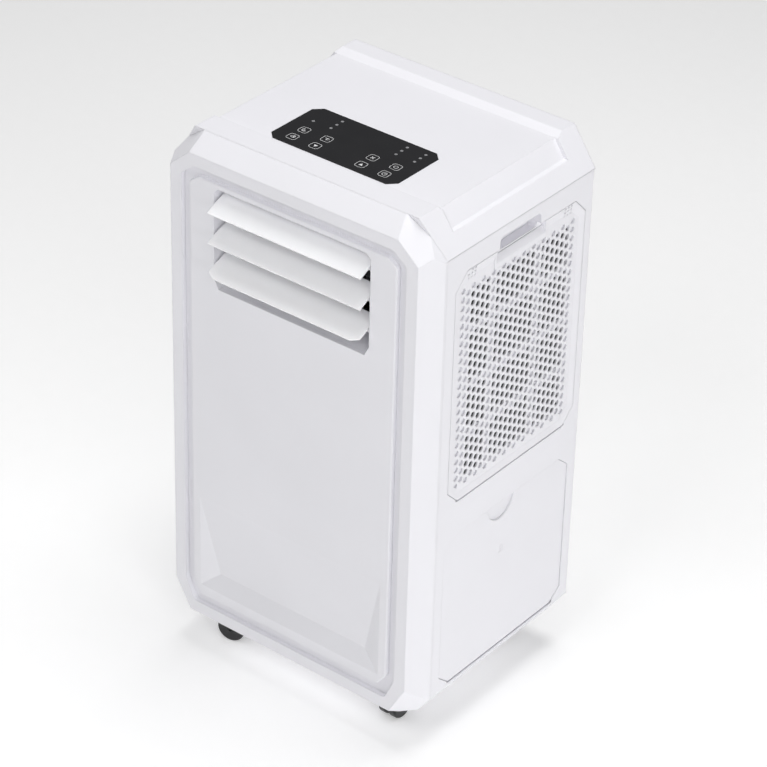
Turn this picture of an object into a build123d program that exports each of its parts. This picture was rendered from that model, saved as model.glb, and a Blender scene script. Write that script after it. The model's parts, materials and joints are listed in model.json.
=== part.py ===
from build123d import *
import math
import os

os.makedirs("parts", exist_ok=True)

# ---------------------------------------------------------------- driving dimensions (mm)
# Body shell: an octagonal section, swept front to back. Front is -Y, up is +Z.
FRONT = -124.6          # plane of the front frame's face
DEPTH = 265.0
REAR = FRONT + DEPTH
HALF_W = 165.0
BODY_TOP = 617.5
BODY_BOTTOM = 46.2
TOP_CUT_X = 28.0        # upper long chamfers of the body
TOP_CUT_Z = 40.5
LOW_CUT_X = 12.1        # lower long chamfers of the body
LOW_CUT_Z = 18.3
WALL = 2.6

# Front casing: bevelled frame with a groove around the front panel
FACE_HALF = 152.7
FACE_TOP = 599.3
FACE_BOTTOM = 49.4
FACE_TOP_CUT = (24.2, 20.9)
FACE_LOW_CUT = (19.2, 33.9)
TOP_BEVEL_RUN = 16.9
SIDE_BEVEL_RUN = 26.0
LOW_BEVEL_RUN = 10.0
SEAM = 29.2             # depth of the casing joint on the sides
TOP_SEAM = 18.8         # depth of the same joint on the top face
SHOULDER = BODY_TOP - TOP_CUT_Z

RING_HALF = 138.9
RING_TOP = 586.0
RING_BOTTOM = 63.6
GROOVE_DEPTH = 5.8
PANEL_HALF = 128.4
PANEL_TOP = 576.4
PANEL_BOTTOM = 76.0
PANEL_SKIN = 2.8

CORNER_SOFT = 5.0       # rounding of the panel's and the groove's outline

# Air outlet and louvers
OUTLET_HALF = 97.1
OUTLET_TOP = 571.5
OUTLET_BOTTOM = 459.0
OUTLET_DEPTH = 60.0
LOUVER_HALF = 94.6
LOUVER_TILT = 21.0
LOUVER_PIVOT_Y = FRONT + 9.0
LOUVERS = (             # name, pivot height, reach in front of and behind the pivot
    ("louver_top", 551.1, 20.4, 15.2),
    ("louver_middle", 517.2, 20.4, 13.0),
    ("louver_bottom", 483.3, 23.8, 13.0),
)
LOUVER_RISE = 8.5
LOUVER_THICK = 2.0
LOUVER_PIN_R = 2.0
CRANK_REACH = 17.0
CRANK_PIN_R = 1.5
LINK_X = 61.0
RUN_GAP = 0.06

# Scoop at the foot of the front panel
SCOOP_HALF = 118.5
SCOOP_TOP = 201.3
SCOOP_BOTTOM = 88.6
SCOOP_DEEP_HALF = 96.4
SCOOP_DEEP_Z = 107.6
SCOOP_DEPTH = 6.8

# Top face: a shallow saddle between the front strip and the rear band
SADDLE_DROP = 4.0
SADDLE_FRONT = 47.9
SADDLE_REAR = 244.0
GLASS_HALF = 78.0
GLASS_Y0 = FRONT + 54.9
GLASS_Y1 = FRONT + 133.8
GLASS_CUT = 8.6
GLASS_THICK = 2.0

# Side openings
GRILLE_Y0 = FRONT + 43.5
GRILLE_Y1 = FRONT + 252.0
GRILLE_Z0 = 290.4
GRILLE_Z1 = 553.3
GRILLE_CUT = 17.4
GRILLE_THICK = 5.0
HOLE_COLUMN = 7.98      # distance between neighbouring columns of holes
HOLE_PITCH = 9.69       # distance between holes in one column
HOLE_FLAT = 6.0
FIELD_SINK = 1.5        # the honeycomb lies below the grille's border
FIELD_SKIN = 2.0
BORDER_SLOPE = 10.0     # width of the border with its soft slope
COVER_Y0 = FRONT + 42.0
COVER_Y1 = FRONT + 249.5
COVER_Z0 = 67.0
COVER_Z1 = 251.0
COVER_CUT = (17.0, 14.5)
COVER_THICK = 3.0
COVER_INSET = 1.0
PANEL_GAP = 0.4
LEDGE_T = 2.4
GRILLE_ROLL = 0.5 * GRILLE_THICK
GRILLE_HINGE = (HALF_W - GRILLE_ROLL, GRILLE_Z0 + GRILLE_ROLL)
COVER_ROLL = 0.5 * COVER_THICK
COVER_HINGE = (HALF_W - COVER_INSET - COVER_ROLL, COVER_Z0 + COVER_ROLL)
GRIP_Y0 = FRONT + 111.4
GRIP_Y1 = FRONT + 177.6
GRIP_Z0 = 549.0
GRIP_Z1 = 566.2
GRIP_DEPTH = 15.0
LIP_Y0 = FRONT + 107.6
LIP_Y1 = FRONT + 185.6

# Rear
DUCT_X = -80.0
DUCT_Z = 205.0
DUCT_R = 65.0
COLLAR_R = 72.0
DRAIN_X = 60.0
DRAIN_Z = 74.0
DRAIN_R = 6.0
CORD_X = 128.0
CORD_Z = 110.0

# Inside
DECK_Z = 284.0
DECK_T = 3.0
TRAY_SEAM = 64.5

# Casters
CASTER_X = 103.4
CASTER_FRONT_Y = FRONT + 45.4
CASTER_REAR_Y = REAR - 42.0
WHEEL_R = 15.6
WHEEL_W = 9.4
WHEEL_GAP = 3.4
TRAIL = 6.0


def at_y(y):
    """Sketch plane across the body at depth y: local x is +X, local y is +Z."""
    return Plane.XZ.offset(-y)


def at_x(x):
    """Sketch plane along the body at x: local x is +Y, local y is +Z."""
    return Plane.YZ.offset(x)


def octagon(half, z0, z1, top_cut, low_cut):
    """Corner points of an upright octagon, clockwise from the upper left."""
    tx, tz = top_cut
    bx, bz = low_cut
    right = [(half - tx, z1), (half, z1 - tz), (half, z0 + bz), (half - bx, z0)]
    left = [(-x, z) for x, z in reversed(right)]
    return left[-1:] + right + left[:-1]


def shrink(cut, inset):
    """Legs of a corner cut after its outline is moved inward."""
    return cut[0] - 0.586 * inset, cut[1] - 0.586 * inset


def cut_rectangle(u0, u1, v0, v1, cut_u, cut_v):
    """Corner points of a rectangle with four equal corner cuts."""
    return [
        (u0 + cut_u, v0),
        (u1 - cut_u, v0),
        (u1, v0 + cut_v),
        (u1, v1 - cut_v),
        (u1 - cut_u, v1),
        (u0 + cut_u, v1),
        (u0, v1 - cut_v),
        (u0, v0 + cut_v),
    ]


def plane_through(a, b, c):
    """Plane through three points; its normal follows their right-hand order."""
    a, b, c = Vector(*a), Vector(*b), Vector(*c)
    return Plane(origin=a, z_dir=(b - a).cross(c - a))


def body_section(inset):
    """Octagonal section of the body, moved inward by inset."""
    return octagon(
        HALF_W - inset,
        BODY_BOTTOM + inset,
        BODY_TOP - inset,
        shrink((TOP_CUT_X, TOP_CUT_Z), inset),
        shrink((LOW_CUT_X, LOW_CUT_Z), inset),
    )


def front_bevels():
    """Planes that trim the eight front bevels, normals pointing out of the casing."""
    planes = [
        Plane(origin=(0, FRONT, FACE_TOP), z_dir=(0, FACE_TOP - BODY_TOP, TOP_BEVEL_RUN)),
        Plane(origin=(0, FRONT, FACE_BOTTOM), z_dir=(0, BODY_BOTTOM - FACE_BOTTOM, -LOW_BEVEL_RUN)),
    ]
    for s in (-1, 1):
        planes.append(Plane(origin=(s * FACE_HALF, FRONT, 0), z_dir=(s * SIDE_BEVEL_RUN, FACE_HALF - HALF_W, 0)))
        upper = [
            (s * (FACE_HALF - FACE_TOP_CUT[0]), FRONT, FACE_TOP),
            (s * FACE_HALF, FRONT, FACE_TOP - FACE_TOP_CUT[1]),
            (s * (HALF_W - 0.5 * TOP_CUT_X), FRONT + 21.5, BODY_TOP - 0.5 * TOP_CUT_Z),
        ]
        lower = [
            (s * FACE_HALF, FRONT, FACE_BOTTOM + FACE_LOW_CUT[1]),
            (s * (FACE_HALF - FACE_LOW_CUT[0]), FRONT, FACE_BOTTOM),
            (s * HALF_W, FRONT + SIDE_BEVEL_RUN, BODY_BOTTOM + LOW_CUT_Z),
        ]
        for corner in (upper, lower):
            a, b, c = corner if s > 0 else (corner[1], corner[0], corner[2])
            planes.append(plane_through(a, b, c))
    return planes


FACE = octagon(FACE_HALF, FACE_BOTTOM, FACE_TOP, FACE_TOP_CUT, FACE_LOW_CUT)
RING = octagon(RING_HALF, RING_BOTTOM, RING_TOP, shrink(FACE_TOP_CUT, 13.8), shrink(FACE_LOW_CUT, 13.8))
PANEL = octagon(PANEL_HALF, PANEL_BOTTOM, PANEL_TOP, shrink(FACE_TOP_CUT, 22.0), (11.0, 15.0))
PANEL_HOLLOW = octagon(PANEL_HALF - 3, PANEL_BOTTOM + 3, PANEL_TOP - 3, (10.0, 8.0), (11.0, 15.0))
OUTLET_WALL = octagon(OUTLET_HALF + 3, OUTLET_BOTTOM - 3, PANEL_TOP, (6.0, 5.0), (5.3, 11.0))
OUTLET = octagon(OUTLET_HALF, OUTLET_BOTTOM, OUTLET_TOP, (6.0, 5.0), (5.3, 11.0))
GRILLE = cut_rectangle(GRILLE_Y0, GRILLE_Y1, GRILLE_Z0, GRILLE_Z1, GRILLE_CUT, GRILLE_CUT)
COVER = cut_rectangle(COVER_Y0, COVER_Y1, COVER_Z0, COVER_Z1, COVER_CUT[0], COVER_CUT[1])

# ---------------------------------------------------------------- shell
with BuildPart() as front_casing:
    with BuildSketch(at_y(FRONT)):
        Polygon(*body_section(0), align=None)
    extrude(amount=-SEAM)
    for bevel in front_bevels():
        split(bisect_by=bevel, keep=Keep.BOTTOM)
    # The joint leans forward above the shoulder.
    with BuildSketch(at_x(-HALF_W)):
        Polygon(
            (FRONT + SEAM, SHOULDER),
            (FRONT + SEAM + 1, BODY_TOP + 1),
            (FRONT + TOP_SEAM, BODY_TOP),
            align=None,
        )
    extrude(amount=2 * HALF_W, mode=Mode.SUBTRACT)
    # Hollow back, following the bevels.
    with BuildSketch(at_y(FRONT + 8.4)):
        Polygon(*octagon(152.5, 51.5, 600.0, (24.0, 22.0), (18.0, 30.0)), align=None)
    with BuildSketch(at_y(FRONT + SEAM + 0.01)):
        Polygon(*body_section(WALL), align=None)
    loft(mode=Mode.SUBTRACT)
    # Groove around the panel and the opening behind it.
    with BuildSketch(at_y(FRONT)) as ring_outline:
        Polygon(*RING, align=None)
        fillet(ring_outline.vertices(), CORNER_SOFT)
    extrude(amount=-GROOVE_DEPTH, mode=Mode.SUBTRACT)
    with BuildSketch(at_y(FRONT)):
        Polygon(*octagon(122.0, 82.0, 575.0, (6.0, 6.0), (3.0, 3.0)), align=None)
    extrude(amount=-20, mode=Mode.SUBTRACT)
front_casing.part.label = "front_casing"
export_step(front_casing.part, "parts/front_casing.step")

# Four-sided hollow cut into the foot of the front panel.
with BuildPart() as scoop_cut:
    with BuildSketch(at_y(FRONT)):
        with Locations((0, 0.5 * (SCOOP_TOP + SCOOP_BOTTOM))):
            Rectangle(2 * SCOOP_HALF, SCOOP_TOP - SCOOP_BOTTOM)
    extrude(amount=-2 * SCOOP_DEPTH)
    deep_left = (-SCOOP_DEEP_HALF, FRONT + SCOOP_DEPTH, SCOOP_DEEP_Z)
    deep_right = (SCOOP_DEEP_HALF, FRONT + SCOOP_DEPTH, SCOOP_DEEP_Z)
    top_left = (-SCOOP_HALF, FRONT, SCOOP_TOP)
    top_right = (SCOOP_HALF, FRONT, SCOOP_TOP)
    low_left = (-SCOOP_HALF, FRONT, SCOOP_BOTTOM)
    low_right = (SCOOP_HALF, FRONT, SCOOP_BOTTOM)
    facets = (
        (top_right, top_left, deep_left),
        (low_left, low_right, deep_right),
        (top_left, low_left, deep_left),
        (low_right, top_right, deep_right),
    )
    for a, b, c in facets:
        split(bisect_by=plane_through(a, b, c), keep=Keep.TOP)

with BuildPart() as front_panel:
    with BuildSketch(at_y(FRONT)) as panel_outline:
        Polygon(*PANEL, align=None)
        fillet(panel_outline.vertices(), CORNER_SOFT)
    extrude(amount=-GROOVE_DEPTH)
    fillet(front_panel.faces().sort_by(Axis.Y)[0].edges(), 1.6)
    with BuildSketch(at_y(FRONT + PANEL_SKIN)):
        Polygon(*PANEL_HOLLOW, align=None)
        Polygon(*OUTLET_WALL, align=None, mode=Mode.SUBTRACT)
    extrude(amount=PANEL_SKIN - GROOVE_DEPTH, mode=Mode.SUBTRACT)
    # Thick boss behind the scoop, then the four-sided scoop itself.
    with BuildSketch(at_y(FRONT + 0.4)):
        with Locations((0, 0.5 * (SCOOP_TOP + SCOOP_BOTTOM))):
            Rectangle(2 * SCOOP_HALF + 5, SCOOP_TOP - SCOOP_BOTTOM + 6)
    extrude(amount=-9.2)
    add(scoop_cut.part, mode=Mode.SUBTRACT)
    with BuildSketch(at_y(FRONT)):
        Polygon(*OUTLET, align=None)
    extrude(amount=-GROOVE_DEPTH, mode=Mode.SUBTRACT)
front_panel.part.label = "front_panel"
export_step(front_panel.part, "parts/front_panel.step")

with BuildPart() as top_cover:
    with BuildSketch(at_y(FRONT + TOP_SEAM)) as top_section:
        Polygon(*body_section(0), align=None)
        with Locations((0, 0)):
            Rectangle(2 * HALF_W + 2, SHOULDER, align=(Align.CENTER, Align.MIN), mode=Mode.SUBTRACT)
    extrude(amount=TOP_SEAM - DEPTH)
    with BuildSketch(at_x(-HALF_W)):
        Polygon(
            (FRONT, SHOULDER - 1),
            (FRONT + SEAM, SHOULDER - 1),
            (FRONT + SEAM, SHOULDER),
            (FRONT + TOP_SEAM, BODY_TOP),
            (FRONT, BODY_TOP),
            align=None,
        )
    extrude(amount=2 * HALF_W, mode=Mode.SUBTRACT)
    with BuildSketch(at_y(FRONT)):
        Polygon(*body_section(6.2), align=None)
    extrude(amount=WALL - DEPTH, mode=Mode.SUBTRACT)
    # Pad that carries the touch glass.
    with BuildSketch(Plane.XY.offset(606.0)):
        with Locations((0, 0.5 * (GLASS_Y0 + GLASS_Y1))):
            Rectangle(2 * GLASS_HALF + 6, GLASS_Y1 - GLASS_Y0 + 6)
    extrude(amount=6)
    # Saddle: a shallow cut over the top face and the upper half of the long chamfers.
    with BuildSketch(at_y(FRONT)):
        Polygon(
            (-HALF_W - 5, 594.4),
            (-153.0, 594.4),
            (-148.5, 595.6),
            (-136.1, BODY_TOP - SADDLE_DROP),
            (136.1, BODY_TOP - SADDLE_DROP),
            (148.5, 595.6),
            (153.0, 594.4),
            (HALF_W + 5, 594.4),
            (HALF_W + 5, BODY_TOP + 10),
            (-HALF_W - 5, BODY_TOP + 10),
            align=None,
        )
    saddle_strip = extrude(amount=-DEPTH, mode=Mode.PRIVATE)
    with BuildSketch(at_x(-HALF_W - 5)):
        Polygon(
            (FRONT + SADDLE_FRONT - 1, BODY_TOP + 1),
            (FRONT + SADDLE_FRONT + 4, BODY_TOP - SADDLE_DROP),
            (FRONT + SADDLE_FRONT + 4, SHOULDER),
            (FRONT + SADDLE_REAR - 10, SHOULDER),
            (FRONT + SADDLE_REAR - 10, BODY_TOP - SADDLE_DROP),
            (FRONT + SADDLE_REAR + 2.5, BODY_TOP + 1),
            align=None,
        )
    saddle_length = extrude(amount=2 * HALF_W + 10, mode=Mode.PRIVATE)
    add(saddle_strip & saddle_length, mode=Mode.SUBTRACT)
    glass_outline = cut_rectangle(-GLASS_HALF, GLASS_HALF, GLASS_Y0, GLASS_Y1, GLASS_CUT, GLASS_CUT)
    with BuildSketch(Plane.XY.offset(BODY_TOP - SADDLE_DROP - GLASS_THICK)):
        Polygon(*glass_outline, align=None)
        offset(amount=0.15, kind=Kind.INTERSECTION)
    extrude(amount=5, mode=Mode.SUBTRACT)
    with BuildSketch(Plane.XY.offset(600)):
        with Locations((0, 0.5 * (GLASS_Y0 + GLASS_Y1))):
            Rectangle(2 * GLASS_HALF - 14, GLASS_Y1 - GLASS_Y0 - 14)
    extrude(amount=15, mode=Mode.SUBTRACT)
top_cover.part.label = "top_cover"
export_step(top_cover.part, "parts/top_cover.step")

with BuildPart() as rear_casing:
    with BuildSketch(Plane.XY.offset(TRAY_SEAM)):
        with Locations((0, 0.5 * (FRONT + SEAM + REAR))):
            Rectangle(2 * HALF_W, DEPTH - SEAM)
    extrude(amount=SHOULDER - TRAY_SEAM)
    fillet(rear_casing.edges().filter_by(Axis.Z).group_by(Axis.Y)[-1], 3.0)
    with BuildSketch(Plane.XY.offset(TRAY_SEAM)):
        with Locations((0, 0.5 * (FRONT + SEAM + REAR - WALL) - 1)):
            Rectangle(2 * (HALF_W - WALL), DEPTH - SEAM - WALL + 2)
    extrude(amount=SHOULDER - TRAY_SEAM, mode=Mode.SUBTRACT)
    for s in (-1, 1):
        # Frame behind the filter grille and pocket for the grip above it.
        inner = s * (HALF_W - GRILLE_THICK - LEDGE_T)
        with BuildSketch(at_x(inner)):
            Polygon(*GRILLE, align=None)
            offset(amount=4, kind=Kind.INTERSECTION)
        extrude(amount=s * (GRILLE_THICK + LEDGE_T))
        with BuildSketch(at_x(s * (HALF_W - GRIP_DEPTH - WALL))):
            with Locations((0.5 * (GRIP_Y0 + GRIP_Y1), 0.5 * (GRIP_Z0 + GRIP_Z1))):
                Rectangle(GRIP_Y1 - GRIP_Y0 + 2 * WALL, GRIP_Z1 - GRIP_Z0 + 2 * WALL)
        extrude(amount=s * (GRIP_DEPTH + WALL))
        with BuildSketch(at_x(inner)):
            Polygon(*GRILLE, align=None)
            offset(amount=-7, kind=Kind.INTERSECTION)
            with Locations((0.5 * (LIP_Y0 + LIP_Y1), GRIP_Z0)):
                Rectangle(LIP_Y1 - LIP_Y0 + 6, 16, mode=Mode.SUBTRACT)
        extrude(amount=s * LEDGE_T, mode=Mode.SUBTRACT)
        with BuildSketch(at_x(s * (HALF_W - GRILLE_THICK))):
            Polygon(*GRILLE, align=None)
            offset(amount=PANEL_GAP, kind=Kind.INTERSECTION)
        extrude(amount=s * (GRILLE_THICK + 1), mode=Mode.SUBTRACT)
        with BuildSketch(at_x(s * (HALF_W - GRIP_DEPTH))):
            with Locations((0.5 * (GRIP_Y0 + GRIP_Y1), 0.5 * (GRIP_Z0 + GRIP_Z1))):
                RectangleRounded(GRIP_Y1 - GRIP_Y0, GRIP_Z1 - GRIP_Z0, 6)
        extrude(amount=s * (GRIP_DEPTH + 1), mode=Mode.SUBTRACT)
        # Room for the rounded lower edges to roll in.
        with BuildSketch(at_y(GRILLE_Y0 + GRILLE_CUT - 3.6)):
            with Locations((s * GRILLE_HINGE[0], GRILLE_HINGE[1])):
                Circle(GRILLE_ROLL + 0.4)
        extrude(amount=GRILLE_Y0 - GRILLE_Y1 + 2 * GRILLE_CUT - 7.2, mode=Mode.SUBTRACT)
        # Seat of the lower cover.
        seat = s * (HALF_W - COVER_THICK - COVER_INSET - LEDGE_T)
        with BuildSketch(at_x(seat)):
            Polygon(*COVER, align=None)
            offset(amount=3, kind=Kind.INTERSECTION)
            with Locations((0.5 * (COVER_Y0 + COVER_Y1), TRAY_SEAM)):
                Rectangle(DEPTH, 20, align=(Align.CENTER, Align.MAX), mode=Mode.SUBTRACT)
        extrude(amount=s * (COVER_THICK + COVER_INSET + LEDGE_T))
        with BuildSketch(at_x(seat)):
            Polygon(*COVER, align=None)
            offset(amount=-9, kind=Kind.INTERSECTION)
        extrude(amount=s * LEDGE_T, mode=Mode.SUBTRACT)
        with BuildSketch(at_x(s * (HALF_W - COVER_THICK - COVER_INSET))):
            Polygon(*COVER, align=None)
            offset(amount=PANEL_GAP, kind=Kind.INTERSECTION)
        extrude(amount=s * 10, mode=Mode.SUBTRACT)
        with BuildSketch(at_y(COVER_Y0 + COVER_CUT[0] - 4.0)):
            with Locations((s * COVER_HINGE[0], COVER_HINGE[1])):
                Circle(2.4)
        extrude(amount=COVER_Y0 - COVER_Y1 + 2 * COVER_CUT[0] - 8.0, mode=Mode.SUBTRACT)
    # Rear wall: exhaust hole, drain, cord gland and upper vent slots.
    with BuildSketch(at_y(REAR + 1)):
        with Locations((DUCT_X, DUCT_Z)):
            Circle(COLLAR_R - 3)
        with Locations((DRAIN_X, DRAIN_Z)):
            Circle(DRAIN_R + 2.0)
        with Locations((CORD_X, CORD_Z)):
            Circle(9)
        with Locations((0, 430)):
            with GridLocations(76, 13, 3, 15):
                SlotOverall(66, 6)
        with Locations((82, 205)):
            with GridLocations(1, 13, 1, 8):
                SlotOverall(90, 6)
    extrude(amount=WALL + 2, mode=Mode.SUBTRACT)
rear_casing.part.label = "rear_casing"
export_step(rear_casing.part, "parts/rear_casing.step")

with BuildPart() as base_tray:
    with BuildSketch(at_y(FRONT + SEAM)):
        Polygon(*body_section(0), align=None)
        with Locations((0, TRAY_SEAM)):
            Rectangle(2 * HALF_W + 2, 600, align=(Align.CENTER, Align.MIN), mode=Mode.SUBTRACT)
    extrude(amount=SEAM - DEPTH)
    with BuildSketch(at_y(FRONT + SEAM + WALL)):
        Polygon(*body_section(3.2), align=None)
    extrude(amount=SEAM + 2 * WALL - DEPTH, mode=Mode.SUBTRACT)
    # Sockets for the caster stems.
    with BuildSketch(Plane.XY.offset(BODY_BOTTOM)):
        for x in (-CASTER_X, CASTER_X):
            for y in (CASTER_FRONT_Y, CASTER_REAR_Y):
                with Locations((x, y)):
                    Circle(9)
    extrude(amount=14)
    with BuildSketch(Plane.XY.offset(BODY_BOTTOM)):
        for x in (-CASTER_X, CASTER_X):
            for y in (CASTER_FRONT_Y, CASTER_REAR_Y):
                with Locations((x, y)):
                    Circle(5.06)
    extrude(amount=12, mode=Mode.SUBTRACT)
base_tray.part.label = "base_tray"
export_step(base_tray.part, "parts/base_tray.step")

# ---------------------------------------------------------------- controls
with BuildPart() as touch_glass:
    with BuildSketch(Plane.XY.offset(BODY_TOP - SADDLE_DROP - GLASS_THICK)):
        Polygon(*glass_outline, align=None)
    extrude(amount=GLASS_THICK)
touch_glass.part.label = "touch_glass"
export_step(touch_glass.part, "parts/touch_glass.step")

with BuildPart() as control_board:
    with BuildSketch(Plane.XY.offset(604.4)):
        with Locations((0, 0.5 * (GLASS_Y0 + GLASS_Y1))):
            Rectangle(2 * GLASS_HALF - 6, GLASS_Y1 - GLASS_Y0 - 6)
    extrude(amount=1.6)
    # Key sensors, lamps and the connector.
    with BuildSketch(Plane.XY.offset(606.0)):
        for x in (-56.5, -28.5, 28.5, 56.5):
            for y in (GLASS_Y0 + 14, GLASS_Y0 + 32):
                with Locations((x, y)):
                    Circle(5.5)
    extrude(amount=5.2)
    with BuildSketch(Plane.XY.offset(604.4)):
        with Locations((0, GLASS_Y1 - 14)):
            Rectangle(26, 8)
    extrude(amount=-6)
control_board.part.label = "control_board"
export_step(control_board.part, "parts/control_board.step")

# ---------------------------------------------------------------- outlet and louvers
with BuildPart() as outlet_frame:
    outlet_y = FRONT + GROOVE_DEPTH
    with BuildSketch(at_y(outlet_y)):
        Polygon(*OUTLET, align=None)
        offset(amount=2.4, kind=Kind.INTERSECTION)
    extrude(amount=GROOVE_DEPTH - OUTLET_DEPTH)
    with BuildSketch(at_y(outlet_y)):
        Polygon(*OUTLET, align=None)
    extrude(amount=-OUTLET_DEPTH, mode=Mode.SUBTRACT)
    # Bosses for the two fixing screws below the sill.
    with BuildSketch(Plane.XY.offset(OUTLET_BOTTOM - 10)):
        with Locations((-43, FRONT + 12), (43, FRONT + 12)):
            Circle(4.5)
    extrude(amount=9)
    with BuildSketch(Plane.XY.offset(OUTLET_BOTTOM)):
        with Locations((-43, FRONT + 12), (43, FRONT + 12)):
            Circle(2.4)
    extrude(amount=-8, mode=Mode.SUBTRACT)
    with BuildSketch(at_x(-OUTLET_HALF - 3)):
        for name, z, front, back in LOUVERS:
            with Locations((LOUVER_PIVOT_Y, z)):
                Circle(LOUVER_PIN_R + RUN_GAP)
    extrude(amount=2 * OUTLET_HALF + 6, mode=Mode.SUBTRACT)
outlet_frame.part.label = "outlet_frame"
export_step(outlet_frame.part, "parts/outlet_frame.step")

with BuildPart() as outlet_screws:
    with BuildSketch(Plane.XY.offset(OUTLET_BOTTOM - 7.9)):
        with Locations((-43, FRONT + 12), (43, FRONT + 12)):
            Circle(2.3)
    extrude(amount=1.8)
    with BuildSketch(Plane.XY.offset(OUTLET_BOTTOM - 6.1)):
        with Locations((-43, FRONT + 12), (43, FRONT + 12)):
            Rectangle(2.6, 0.6)
            Rectangle(0.6, 2.6)
    extrude(amount=-1.0, mode=Mode.SUBTRACT)
outlet_screws.part.label = "outlet_screws"
export_step(outlet_screws.part, "parts/outlet_screws.step")

tilt = math.radians(LOUVER_TILT)
for name, pivot_z, front, back in LOUVERS:
    # Local x runs outward along the blade, local y points below it, z along the width.
    blade_frame = Plane(
        origin=(-LOUVER_HALF, LOUVER_PIVOT_Y, pivot_z),
        x_dir=(0, -math.cos(tilt), -math.sin(tilt)),
        z_dir=(1, 0, 0),
    )
    with BuildPart() as blade:
        with BuildSketch(blade_frame):
            with BuildLine():
                rise = -LOUVER_RISE
                upper = ThreePointArc((-back, rise + 1.0), (2, rise), (front, rise + 1.5))
                tip = Line(upper @ 1, (front - 0.3, rise + 1.5 + LOUVER_THICK))
                lower = ThreePointArc(tip @ 1, (2, rise + LOUVER_THICK), (-back, rise + 1.0 + LOUVER_THICK))
                Line(lower @ 1, upper @ 0)
            make_face()
        extrude(amount=2 * LOUVER_HALF)
        if name == "louver_bottom":
            corners = blade.edges().filter_by(lambda e: e.length < 3).group_by(Axis.Y)[0]
            chamfer(corners, 9.0, 5.0)
        # End webs with the pivot pins.
        for x in (0, 2 * LOUVER_HALF - 2):
            with BuildSketch(blade_frame.offset(x)):
                Circle(4.0)
                Polygon((-7, rise + 1.5), (7, rise + 1.5), (3.6, 0), (-3.6, 0), align=None)
            extrude(amount=2)
        pin = 15.0 if name == "louver_top" else 4.6
        with BuildSketch(blade_frame.offset(-pin)):
            Circle(LOUVER_PIN_R)
        extrude(amount=pin)
        with BuildSketch(blade_frame.offset(2 * LOUVER_HALF)):
            Circle(LOUVER_PIN_R)
        extrude(amount=4.6)
        # Crank lug and pin for the link bar.
        with BuildSketch(blade_frame.offset(LOUVER_HALF + LINK_X - 3.0)):
            Polygon((-13, rise + 2), (-4, rise + 2), (-CRANK_REACH + 1, 3.0), (-CRANK_REACH - 2, -2.4), align=None)
            with Locations((-CRANK_REACH, 0)):
                Circle(3.2)
        extrude(amount=2.6)
        with BuildSketch(blade_frame.offset(LOUVER_HALF + LINK_X - 0.4)):
            with Locations((-CRANK_REACH, 0)):
                Circle(CRANK_PIN_R)
        extrude(amount=5)
    blade.part.label = name
    export_step(blade.part, f"parts/{name}.step")

crank_y = LOUVER_PIVOT_Y + CRANK_REACH * math.cos(tilt)
crank_rise = CRANK_REACH * math.sin(tilt)
with BuildPart() as louver_link:
    with BuildSketch(at_x(LINK_X)):
        top = LOUVERS[0][1] + crank_rise
        low = LOUVERS[2][1] + crank_rise
        with Locations((crank_y, 0.5 * (top + low))):
            SlotCenterToCenter(top - low, 7.0, rotation=90)
        for name, pivot_z, front, back in LOUVERS:
            with Locations((crank_y, pivot_z + crank_rise)):
                Circle(CRANK_PIN_R + RUN_GAP, mode=Mode.SUBTRACT)
    extrude(amount=3.0)
louver_link.part.label = "louver_link"
export_step(louver_link.part, "parts/louver_link.step")

with BuildPart() as louver_motor:
    with BuildSketch(at_x(-OUTLET_HALF - 20)):
        with Locations((FRONT + 21.2, LOUVERS[0][1])):
            RectangleRounded(29, 28, 6)
    extrude(amount=15.6)
    with BuildSketch(at_x(-OUTLET_HALF - 17)):
        with Locations((LOUVER_PIVOT_Y, LOUVERS[0][1])):
            Circle(LOUVER_PIN_R + RUN_GAP)
    extrude(amount=13, mode=Mode.SUBTRACT)
louver_motor.part.label = "louver_motor"
export_step(louver_motor.part, "parts/louver_motor.step")

# ---------------------------------------------------------------- side panels
MID_Y = 0.5 * (GRILLE_Y0 + GRILLE_Y1)
FIELD_Y = MID_Y - 2.4
FIELD_Z = 420.0
MOON_Y = FRONT + 135.4
FILTER_WINDOWS_Y = ((-55.0, -19.5), (-10.7, 53.4), (62.2, 103.0))
FILTER_WINDOWS_Z = ((313.0, 357.6), (366.4, 414.6), (423.4, 477.0), (485.8, 525.5))

# Border of the grille, sloping down to the sunk honeycomb.
with BuildPart() as grille_border:
    with BuildSketch(at_x(HALF_W - FIELD_SINK - FIELD_SKIN)):
        Polygon(*GRILLE, align=None)
        offset(amount=0.4 - BORDER_SLOPE, kind=Kind.INTERSECTION, mode=Mode.SUBTRACT)
    extrude(amount=FIELD_SINK + FIELD_SKIN)
    with BuildSketch(at_x(HALF_W - FIELD_SINK)):
        Polygon(*GRILLE, align=None)
        offset(amount=-BORDER_SLOPE, kind=Kind.INTERSECTION)
    with BuildSketch(at_x(HALF_W + 0.01)):
        Polygon(*GRILLE, align=None)
        offset(amount=-1.6, kind=Kind.INTERSECTION)
    loft(mode=Mode.SUBTRACT)
    # Solid wedge behind the finger lip.
    with BuildSketch(at_x(HALF_W - GRILLE_THICK)):
        with Locations((0.5 * (LIP_Y0 + LIP_Y1), 543.6)):
            Rectangle(LIP_Y1 - LIP_Y0 + 6, 19.2)
    extrude(amount=GRILLE_THICK - 0.4)

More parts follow.
